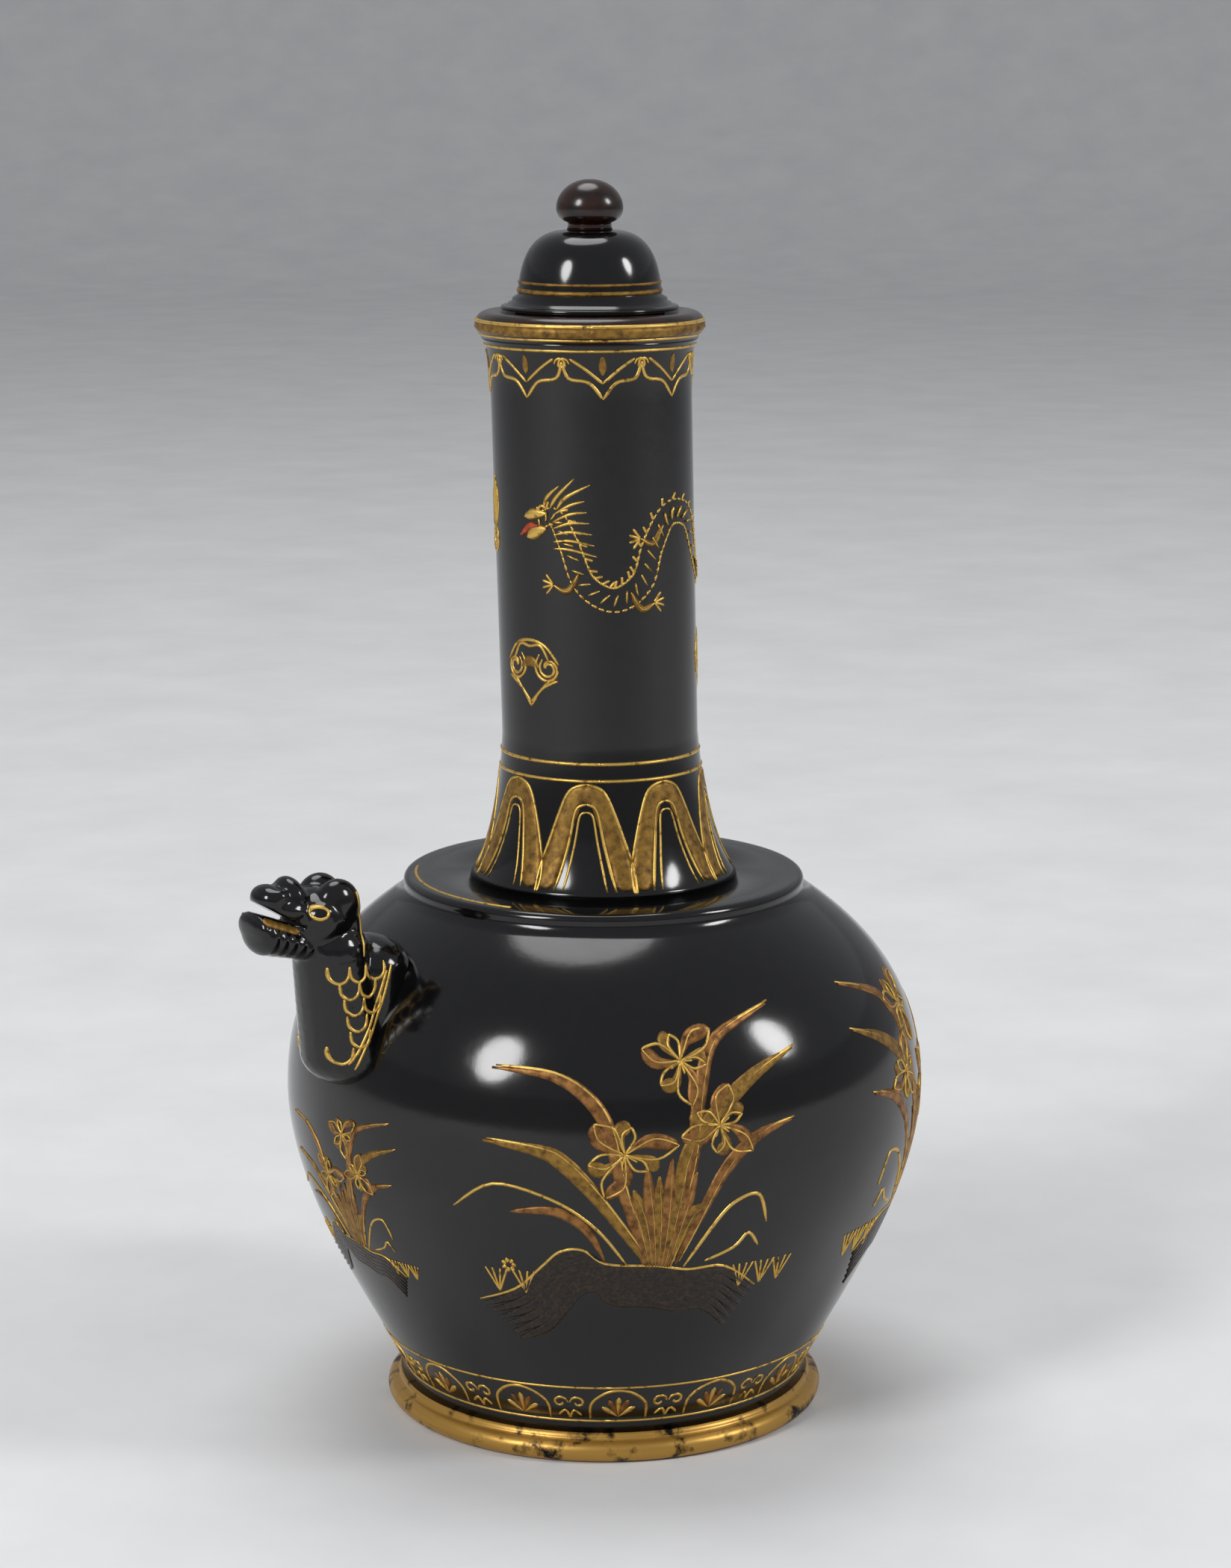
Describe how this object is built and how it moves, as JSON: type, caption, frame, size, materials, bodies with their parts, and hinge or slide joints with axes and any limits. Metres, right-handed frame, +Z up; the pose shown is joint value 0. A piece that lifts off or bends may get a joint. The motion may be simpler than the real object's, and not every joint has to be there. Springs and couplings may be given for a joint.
{
  "type": "wine ewer",
  "caption": "Round-bellied ceramic wine ewer on a ring foot, with a tall slender neck, a short creature-head spout and a domed lift-off lid with a knop.",
  "frame": {"origin": "centre of the foot, on the plane that the ewer stands on", "axes": "+Z up along the vessel's axis, -X towards the spout, +Y to the right of someone who looks along the spout from behind"},
  "size_m": [0.1021, 0.0896, 0.1716],
  "materials": {
    "black_glaze": "glossy black glaze over stoneware",
    "worn_rim": "thin red-brown glaze with worn gold",
    "gilt_foot": "worn gilding over black glaze",
    "gilding": "fired gold lines and fills, slightly worn",
    "bare_stoneware": "unglazed red stoneware"
  },
  "bodies": {
    "ewer": {"foot_ring": "gilt_foot", "belly": "black_glaze", "neck": "black_glaze", "mouth_lip": "worn_rim", "spout_throat": "black_glaze", "spout_head": "black_glaze"},
    "lid": {"lid_cover": "black_glaze", "lid_bezel": "bare_stoneware", "lid_knop": "black_glaze"}
  },
  "joints": [
    {"name": "lid_lift", "type": "slide", "parent": "ewer", "child": "lid", "axis": [0, 0, 1], "range_m": [0, 0.03]}
  ]
}
